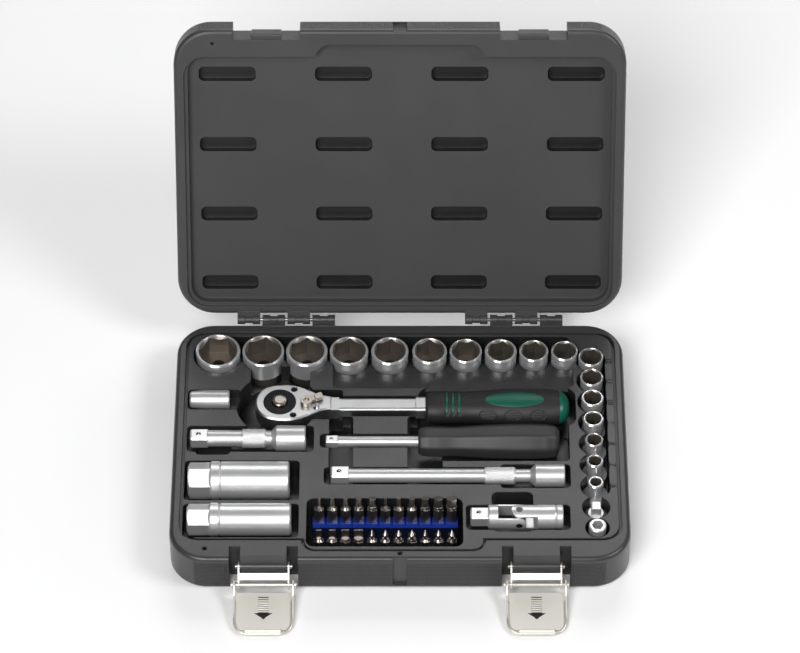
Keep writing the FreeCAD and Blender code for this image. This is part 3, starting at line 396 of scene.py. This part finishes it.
def rubber_material(name, colour, roughness, grain=1400.0, depth=0.00004):
    make = Maker(name, colour, 0.0, roughness)
    make.rough(make.noise(80.0, 3.0), roughness - 0.07, roughness + 0.07)
    make.tint(make.noise(30.0, 2.0), tuple(Vector(colour) * 0.8), tuple(Vector(colour) * 1.25))
    make.bump(make.noise(grain, 2.0), depth, 0.8, 0.0005)
    return make.material


# ---------------------------------------------------------------- pieces

class CASE_OT_shells(bpy.types.Operator):
    """Finish the moulded case halves."""
    bl_idname = "socketset.shells"
    bl_label = "Case shells"

    def execute(self, context):
        settings = context.scene.socket_case
        dress(["base_shell"], case_material("case_plastic_base", settings, False))
        dress(["lid_shell"], case_material("case_plastic_lid", settings, True))
        return {"FINISHED"}


def arrow_material(node, colour):
    """Nickel with a stamped arrow: dark bars across the lever at an even pitch, then a triangle whose half
    width falls in step with the distance from the lever's upper edge."""
    low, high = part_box(node)
    make = Maker("nickel_" + node, colour, LEVER_PLATED, 0.4)
    make.rough(make.noise(60.0, 4.0), 0.34, 0.46)
    side = make.maths("ABSOLUTE", make.maths("SUBTRACT", make.place(0), (low.x + high.x) / 2))
    along = make.maths("SUBTRACT", high.y, make.place(1))
    bars = make.maths("LESS_THAN", make.maths("FRACT", make.maths("DIVIDE", along, BAR_PITCH)), BAR_SHARE)
    shaft = make.maths("MULTIPLY", bars, make.maths("LESS_THAN", side, ARROW_HALF))
    shaft = make.maths("MULTIPLY", shaft, make.inside(1, high.y - ARROW_NECK, high.y - ARROW_START))
    taper = make.maths("MULTIPLY", make.maths("SUBTRACT", ARROW_TIP, along), 1.5)
    head = make.maths("LESS_THAN", side, taper)
    head = make.maths("MULTIPLY", head, make.inside(1, high.y - ARROW_TIP, high.y - ARROW_NECK))
    mark = make.maths("MAXIMUM", shaft, head)
    make.tint(mark, tuple(Vector(colour) * 1.16), (0.03, 0.028, 0.026))
    make.bump(make.maths("MULTIPLY", mark, -1.0), 0.0002, 0.8, 0.0004)
    return make.material


def lever_rim(name, node):
    """Raised rim of a lever: a round bead that runs down one side, around the corner, across the free end and
    back up. Path = half a rounded rectangle in the lever's plane, mirrored; the bead thins at both ends."""
    turn = np.linspace(0, math.pi / 2, 14)
    side = np.linspace(RIM_START, RIM_END - RIM_CORNER, 24)
    a = np.concatenate([np.full(24, RIM_HALF), RIM_HALF - RIM_CORNER * (1 - np.cos(turn)), [0.006, 0.0]])
    b = np.concatenate([side, RIM_END - RIM_CORNER * (1 - np.sin(turn)), [RIM_END, RIM_END]])
    a = np.concatenate([a, -a[-2::-1]])
    b = np.concatenate([b, b[-2::-1]])
    da, db = np.gradient(a), np.gradient(b)
    step = np.hypot(da, db)
    na, nb = db / step, -da / step
    t = np.linspace(0, 1, len(a))
    rho = RIM_RADIUS * np.clip(np.minimum(t, 1 - t) * 16, 0.05, 1)[:, None]
    v = np.linspace(0, 2 * math.pi, 20, endpoint=False)[None, :]
    across = a[:, None] + rho * np.cos(v) * na[:, None]
    down = b[:, None] + rho * np.cos(v) * nb[:, None]
    lift = rho * np.sin(v) - RIM_SINK
    x, y, z = joint_place(node.replace("latch_", "") + "_hinge")
    cos, sin = math.cos(LEVER_SLOPE), math.sin(LEVER_SLOPE)
    points = np.stack([x + across, y - down * cos - lift * sin, z - down * sin + lift * cos], -1)
    return surface(name, points, around=True, cap=True)


class CASE_OT_latches(bpy.types.Operator):
    """Finish both draw latches and the pins."""
    bl_idname = "socketset.latches"
    bl_label = "Latches and pins"

    def execute(self, context):
        metal = context.scene.socket_metal
        plate = metal_material("latch_nickel", metal.nickel, 0.36, 0.05, (1.0, 12.0, 12.0), 0.0003, PLATED)
        dress([n for n in NODES if n.startswith("latch_link") or n.startswith("latch_rod")], plate)
        for node in ("latch_lever_left", "latch_lever_right"):
            dress([node], arrow_material(node, metal.nickel))
            rim = lever_rim("rim_" + node, node)
            finish_piece(rim, node.replace("latch_", ""), plate, "nickel_plate")
        dress(["hinge_pins", "latch_pins"], metal_material("pin_steel", (0.45, 0.44, 0.43), 0.3))
        return {"FINISHED"}


class CASE_OT_numbers(bpy.types.Operator):
    """Raise the size numbers on the rim beside the right column of sockets."""
    bl_idname = "socketset.numbers"
    bl_label = "Size numbers"

    def execute(self, context):
        settings = context.scene.socket_case
        make = Maker("number_plastic", (0.004, 0.004, 0.004), 0.0, 0.5)
        make.bump(make.noise(1500.0), 0.00002)
        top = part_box("socket_12")[1].z - NUMBER_DROP
        for size in range(6, 13):
            low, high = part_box("socket_%02d" % size)
            curve = bpy.data.curves.new("number", "FONT")
            curve.body = str(size)
            curve.size = settings.number_size
            curve.extrude = 0.00014
            curve.offset = 0.00016
            curve.align_x = "CENTER"
            curve.align_y = "CENTER"
            text = bpy.data.objects.new("number", curve)
            context.scene.collection.objects.link(text)
            context.view_layer.update()
            mesh = bpy.data.meshes.new_from_object(text.evaluated_get(context.evaluated_depsgraph_get()))
            bpy.data.objects.remove(text)
            place = Matrix.Translation((NUMBER_X, (low.y + high.y) / 2, top))
            mesh.transform(place @ Matrix.Rotation(-math.pi / 2, 4, "Z"))
            piece = bpy.data.objects.new("size_number_%02d" % size, mesh)
            context.scene.collection.objects.link(piece)
            finish_piece(piece, "case_base", make.material, "case_plastic")
        return {"FINISHED"}


class TOOL_OT_sockets(bpy.types.Operator):
    """Finish the drive sockets in bright chrome."""
    bl_idname = "socketset.sockets"
    bl_label = "Drive sockets"

    def execute(self, context):
        metal = context.scene.socket_metal
        for node in SOCKETS:
            dress([node], socket_material(node, metal.chrome, metal.bore))
        return {"FINISHED"}


class TOOL_OT_bars(bpy.types.Operator):
    """Finish the bars, adapters, spark plug sockets and joint in satin chrome, with knurled bands."""
    bl_idname = "socketset.bars"
    bl_label = "Bars and adapters"

    def execute(self, context):
        metal = context.scene.socket_metal
        satin = metal_material("satin_chrome", metal.satin, 0.36, 0.06, (0.2, 1.0, 1.0), metallic=PLATED)
        dress(["extension_75", "extension_150", "spark_socket_21", "spark_socket_16", "bit_coupler",
               "step_adapter", "bit_adapter", "u_male", "u_female", "spinner_shaft"], satin)
        steel = metal_material("ball_steel", (0.55, 0.52, 0.49), 0.22)
        dress([n for n in NODES if n.endswith("_ball")], steel)
        dress(["u_cross"], metal_material("cross_steel", (0.11, 0.105, 0.10), 0.38))
        insert = rubber_material("insert_rubber", (0.012, 0.012, 0.012), 0.6)
        dress(["spark_insert_21", "spark_insert_16"], insert)
        for node, start, length, radius, body in KNURLED:
            low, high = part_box(node)
            y, z = (low.y + high.y) / 2, (low.z + high.z) / 2
            band = knurl("knurl_" + node, low.x + start, length, radius, y, z, metal.knurl_pitch)
            finish_piece(band, body, satin, "satin_chrome")
        return {"FINISHED"}


def knurl(name, x0, length, radius, y, z, pitch):
    """Diamond knurled sleeve about the x axis. The relief is the sum of two crossing ridge patterns,
    1 - |sin(a + b)| and 1 - |sin(a - b)|, with a the angle times half the tooth count and b the place along
    the band. The sleeve sinks below the bar at both ends."""
    teeth = max(12, int(round(2 * math.pi * radius / pitch / 2)) * 2)
    u = np.linspace(0.0, 1.0, int(length / pitch * 4) + 1)[:, None]
    v = np.linspace(0.0, 2 * math.pi, teeth * 4, endpoint=False)[None, :]
    a = v * teeth / 2
    b = u * length / pitch * math.pi / 2
    relief = (1 - np.abs(np.sin(a + b))) + (1 - np.abs(np.sin(a - b)))
    ends = np.clip(np.minimum(u, 1 - u) * 14, 0, 1)
    r = radius - KNURL_SINK + (KNURL_SINK + KNURL_DEPTH * relief) * ends
    points = np.stack([x0 + u * length + 0 * v, y + r * np.cos(v), z + r * np.sin(v)], -1)
    return surface(name, points, around=True, cap=True, smooth=False)


def eased(x, stations, values):
    """Smooth curve through values at stations: cubic Hermite with slopes from neighbouring differences."""
    slope = np.gradient(values, stations)
    i = np.clip(np.searchsorted(stations, x, side="right") - 1, 0, len(stations) - 2)
    h = stations[i + 1] - stations[i]
    t = np.clip((x - stations[i]) / h, 0.0, 1.0)
    return ((1 + 2 * t) * (1 - t) ** 2 * values[i] + t * (1 - t) ** 2 * h * slope[i]
            + t * t * (3 - 2 * t) * values[i + 1] + t * t * (t - 1) * h * slope[i + 1])


def grip_point(x, angle, lift):
    """Point of the ratchet grip at a place along it and an angle about it: an ellipse of eased width and
    thickness, slightly squared, with lift added to both half sizes."""
    low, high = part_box("ratchet_body")
    w = eased(x, GRIP_STATIONS, GRIP_WIDTHS) / 2 + lift
    t = eased(x, GRIP_STATIONS, GRIP_THICKS) / 2 + lift
    c, s = np.cos(angle), np.sin(angle)
    c = np.sign(c) * np.abs(c) ** GRIP_SQUARE
    s = np.sign(s) * np.abs(s) ** GRIP_SQUARE
    along = low.x + GRIP_START + x + 0 * angle
    return np.stack([along, (low.y + high.y) / 2 + w * c, low.z + GRIP_AXIS_Z + t * s], -1)


def patch(name, x, angle, half_x, half_a, height, ribs=0, power=2.0):
    """Raised pad on the ratchet grip. Two discs in polar steps, an outer skin and one sunk below the rubber,
    meet at the rim. The height follows 1 minus the sixth power of the radius, and ribs run across it inside
    a raised ring."""
    r = np.concatenate([np.linspace(0, 1, 25), np.linspace(1, 0, 7)[1:]])[:, None]
    outer = (np.arange(len(r)) < 25)[:, None]
    v = np.linspace(0, 2 * math.pi, 72, endpoint=False)[None, :]
    c, s = np.cos(v), np.sin(v)
    px = np.sign(c) * np.abs(c) ** (2 / power) * r
    pa = np.sign(s) * np.abs(s) ** (2 / power) * r
    rise = height * (1 - r ** 6) + 0 * v
    if ribs:
        rise = rise * (0.35 + 0.65 * np.abs(np.sin(pa * ribs * math.pi / 2)))
        rise = rise + height * np.exp(-((r - 0.9) / 0.06) ** 2)
    lift = np.where(outer, rise - 0.00005, -0.0006)
    lift = np.where(r >= 0.999, -0.0003, lift)
    points = grip_point(x + half_x * px, angle + half_a * pa, lift)
    return surface(name, points, around=True)


class TOOL_OT_ratchet(bpy.types.Operator):
    """Finish the ratchet: plated body, dark ring, grip with finger pads, bands and oval."""
    bl_idname = "socketset.ratchet"
    bl_label = "Ratchet"

    def execute(self, context):
        metal = context.scene.socket_metal
        handle = context.scene.socket_handle
        plate = tuple(Vector(metal.satin) * 0.8)
        body = metal_material("ratchet_plate", plate, 0.36, 0.05, (0.3, 1.0, 1.0), 0.0006)
        dress(["ratchet_body"], body)
        dress(["ratchet_button", "ratchet_lever"], metal_material("button_plate", (0.42, 0.38, 0.34), 0.3))
        dark = metal_material("ring_black", (0.035, 0.035, 0.037), 0.42)
        dress(["ratchet_ring", "ratchet_screws", "ratchet_gear", "ratchet_pawl"], dark)
        rubber = rubber_material("grip_rubber", handle.rubber, 0.52)
        green = rubber_material("grip_green", handle.green, 0.36, 900.0, 0.00002)
        x = np.linspace(GRIP_STATIONS[0], GRIP_STATIONS[-1], 181)[:, None]
        v = np.linspace(0, 2 * math.pi, 120, endpoint=False)[None, :]
        groove = sum(np.exp(-((x - at / 1000) / 0.0011) ** 2) for at in BANDS)
        aside = np.abs(np.angle(np.exp(1j * (v - BAND_ANGLE))))
        reach = 1 / (1 + np.exp(20 * (aside - 0.95)))
        skin = grip_point(x, v, -0.0005 * groove * reach)
        grip = surface("ratchet_grip_rubber", skin, around=True, cap=True)
        finish_piece(grip, "ratchet_tool", rubber, "grip_rubber", "ratchet_grip")
        oval = patch("ratchet_grip_oval", 0.1560, 1.66, 0.0205, 0.45, 0.00022)
        finish_piece(oval, "ratchet_tool", green, "green_grip", "ratchet_inlay")
        for i, at in enumerate(BANDS):
            band = patch("ratchet_grip_band_%d" % i, at / 1000, BAND_ANGLE, 0.00085, 0.86, 0.00012, power=3.2)
            finish_piece(band, "ratchet_tool", green, "green_grip")
        for i in range(handle.pads):
            at = PAD_START + PAD_PITCH * i
            pad = patch("ratchet_grip_pad_%d" % i, at, 2.60, 0.0062, 0.36, 0.00035, ribs=7)
            finish_piece(pad, "ratchet_tool", rubber, "grip_rubber")
        dress(["ratchet_cap"], green)
        return {"FINISHED"}


class TOOL_OT_spinner(bpy.types.Operator):
    """Model the faceted spinner handle grip."""
    bl_idname = "socketset.spinner"
    bl_label = "Spinner handle"

    def execute(self, context):
        handle = context.scene.socket_handle
        rubber = rubber_material("spinner_rubber", tuple(Vector(handle.rubber) * 2.0), 0.46)
        low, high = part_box("spinner_grip")
        y, z = (low.y + high.y) / 2, (low.z + high.z) / 2
        x = np.linspace(0, SPINNER_STATIONS[-1], 161)[:, None]
        v = np.linspace(0, 2 * math.pi, 128, endpoint=False)[None, :]
        faces = np.arange(FLATS) * 2 * math.pi / FLATS
        lobes = np.maximum(0, np.cos(v[..., None] - faces)) ** SHARPNESS
        r = eased(x, SPINNER_STATIONS, SPINNER_RADII) * lobes.sum(-1) ** (-1 / SHARPNESS)
        points = np.stack([low.x + x + 0 * v, y + r * np.cos(v), z + r * np.sin(v)], -1)
        grip = surface("spinner_grip_rubber", points, around=True, cap=True)
        finish_piece(grip, "spinner_tool", rubber, "grip_rubber", "spinner_grip")
        return {"FINISHED"}


class TOOL_OT_bits(bpy.types.Operator):
    """Finish the bits and their rail."""
    bl_idname = "socketset.bits"
    bl_label = "Bits and rail"

    def execute(self, context):
        steel = metal_material("bit_steel", (0.40, 0.37, 0.345), 0.30, 0.08)
        dress(["bits_torx", "bits_hex", "bits_driver"], steel)
        blue = (0.01, 0.035, 0.30)
        make = Maker("rail_blue", blue, 0.0, 0.3)
        make.rough(make.noise(70.0), 0.24, 0.38)
        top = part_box("bit_rail")[1].z
        # Painted shade: the rail is blue only in its top 3 mm and near black below, painted as the shade
        # between the bits; its own colour lower down is not known.
        blue_above_shade = make.ramp(make.place(2), 0.0, 1.0, top - 0.0032, top - 0.0027)
        make.tint(blue_above_shade, (0.004, 0.006, 0.018), blue)
        make.bump(make.noise(1200.0), 0.00002, 0.7, 0.0003)
        dress(["bit_rail"], make.material)
        return {"FINISHED"}


class SCENE_OT_stage(bpy.types.Operator):
    """Set up the floor, soft boxes, world and camera."""
    bl_idname = "socketset.stage"
    bl_label = "Stage"

    def execute(self, context):
        stage = context.scene.socket_stage
        span = np.linspace(-4.0, 4.0, 9)
        gx, gy = np.meshgrid(span, span, indexing="ij")
        floor = surface("floor", np.stack([gx, gy, 0 * gx - 0.0002], -1))
        make = Maker("floor_white", (0.97, 0.97, 0.97), 0.0, 0.85)
        make.bump(make.noise(30.0), 0.0001, 0.2)
        floor.data.materials.append(make.material)
        world = bpy.data.worlds.new("studio")
        world.use_nodes = True
        tree = world.node_tree
        split = tree.nodes.new("ShaderNodeSeparateXYZ")
        spread = tree.nodes.new("ShaderNodeMapRange")
        tree.links.new(tree.nodes.new("ShaderNodeTexCoord").outputs["Generated"], split.inputs[0])
        tree.links.new(split.outputs[2], spread.inputs["Value"])
        limits = {"From Min": 0.05, "From Max": 0.9, "To Min": 0.42, "To Max": 1.25 * stage.light}
        for key, value in limits.items():
            spread.inputs[key].default_value = value
        tree.links.new(spread.outputs[0], tree.nodes["Background"].inputs[1])
        context.scene.world = world
        context.scene.view_settings.view_transform = "Standard"
        for name, place, size, power in LIGHTS:
            data = bpy.data.lights.new(name, "AREA")
            data.size = size
            data.energy = power * stage.light
            lamp = bpy.data.objects.new(name, data)
            lamp.location = place
            lamp.rotation_euler = (Vector((0, 0.05, 0)) - Vector(place)).to_track_quat("-Z", "Y").to_euler()
            context.scene.collection.objects.link(lamp)
        data = bpy.data.cameras.new("camera")
        data.lens = stage.lens
        data.sensor_width = 36.0
        data.clip_end = 20.0
        camera = bpy.data.objects.new("camera", data)
        back = Vector((0, -math.cos(stage.elevation), math.sin(stage.elevation)))
        camera.location = AIM + stage.distance * back
        camera.rotation_euler = (AIM - camera.location).to_track_quat("-Z", "Y").to_euler()
        context.scene.collection.objects.link(camera)
        context.scene.camera = camera
        return {"FINISHED"}


OPERATORS = (CASE_OT_shells, CASE_OT_latches, CASE_OT_numbers, TOOL_OT_sockets, TOOL_OT_bars, TOOL_OT_ratchet,
             TOOL_OT_spinner, TOOL_OT_bits, SCENE_OT_stage)


class VIEW3D_PT_socketset(bpy.types.Panel):
    """Lists every step of the socket set."""
    bl_idname = "VIEW3D_PT_socketset"
    bl_label = "Socket set in case"
    bl_space_type = "VIEW_3D"
    bl_region_type = "UI"
    bl_category = "Socket set"

    def draw(self, context):
        for operator in OPERATORS:
            self.layout.operator(operator.bl_idname)
        for group in GROUPS:
            settings = getattr(context.scene, group)
            box = self.layout.box()
            for key in settings.__annotations__:
                box.prop(settings, key)


def register():
    for kind in (*GROUPS.values(), *OPERATORS, VIEW3D_PT_socketset):
        bpy.utils.register_class(kind)
    for name, kind in GROUPS.items():
        setattr(bpy.types.Scene, name, PointerProperty(type=kind))


def unregister():
    for name in GROUPS:
        delattr(bpy.types.Scene, name)
    for kind in (VIEW3D_PT_socketset, *reversed(OPERATORS), *reversed(GROUPS.values())):
        bpy.utils.unregister_class(kind)


def main():
    register()
    for operator in OPERATORS:
        group, name = operator.bl_idname.split(".")
        getattr(getattr(bpy.ops, group), name)()


if __name__ == "__main__":
    main()
